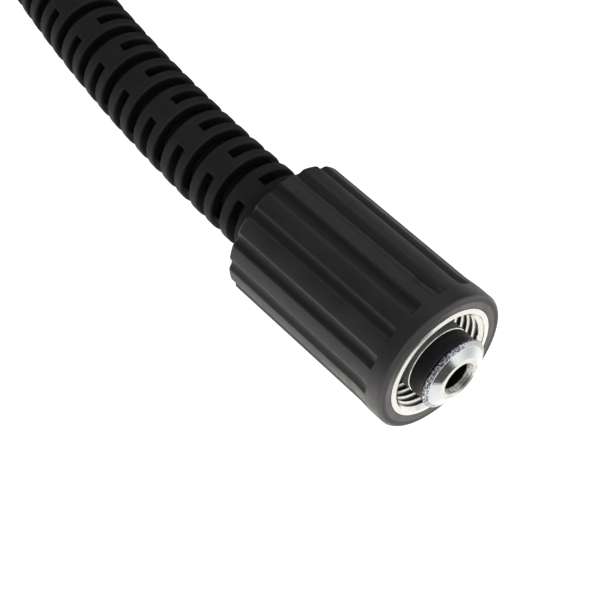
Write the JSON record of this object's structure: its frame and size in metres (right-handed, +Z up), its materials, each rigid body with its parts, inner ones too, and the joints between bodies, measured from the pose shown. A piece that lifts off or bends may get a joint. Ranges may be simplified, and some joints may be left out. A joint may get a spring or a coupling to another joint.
{
  "type": "pressure washer hose",
  "caption": "Coiled high-pressure hose with a fluted swivel nut, sealed nipple and slotted bend restrictor on each end.",
  "frame": {"origin": "on the floor, below the middle of the near coupling (its nose tip to the rear of its bend restrictor)", "axes": "+X along the near coupling's axis, out of its nose; +Z up; the coil lies behind, towards -X and +Y"},
  "size_m": [0.2999, 0.2151, 0.0665],
  "materials": {
    "moulded_grip": "fine matt moulded black plastic",
    "sleeve_plastic": "soft matt black plastic",
    "thread_metal": "turned, bright",
    "nipple_metal": "bright zinc plate",
    "ferrule_metal": "bright zinc plate",
    "seal_rubber": "smooth black rubber",
    "hose_cover": "black hose cover, satin"
  },
  "bodies": {
    "hose": {"near_nipple": "nipple_metal", "near_seal_ring": "seal_rubber", "near_crimp_ferrule": "ferrule_metal", "near_hose_end": "hose_cover", "near_bend_sleeve": "sleeve_plastic", "hose_near_run": "hose_cover", "hose_coil": "hose_cover", "hose_far_run": "hose_cover", "far_nipple": "nipple_metal", "far_seal_ring": "seal_rubber", "far_crimp_ferrule": "ferrule_metal", "far_hose_end": "hose_cover", "far_bend_sleeve": "sleeve_plastic"},
    "near_nut": {"near_nut_grip": "moulded_grip", "near_nut_insert": "thread_metal"},
    "far_nut": {"far_nut_grip": "moulded_grip", "far_nut_insert": "thread_metal"}
  },
  "joints": [
    {"name": "near_nut_swivel", "type": "hinge", "parent": "hose", "child": "near_nut", "pos_m": [0.06557, -0.00093, 0.0151], "axis": [1, 0, 0], "continuous": true},
    {"name": "far_nut_swivel", "type": "hinge", "parent": "hose", "child": "far_nut", "pos_m": [-0.2239, 0.0551, 0.0514], "axis": [-1, 0, 0], "continuous": true}
  ]
}
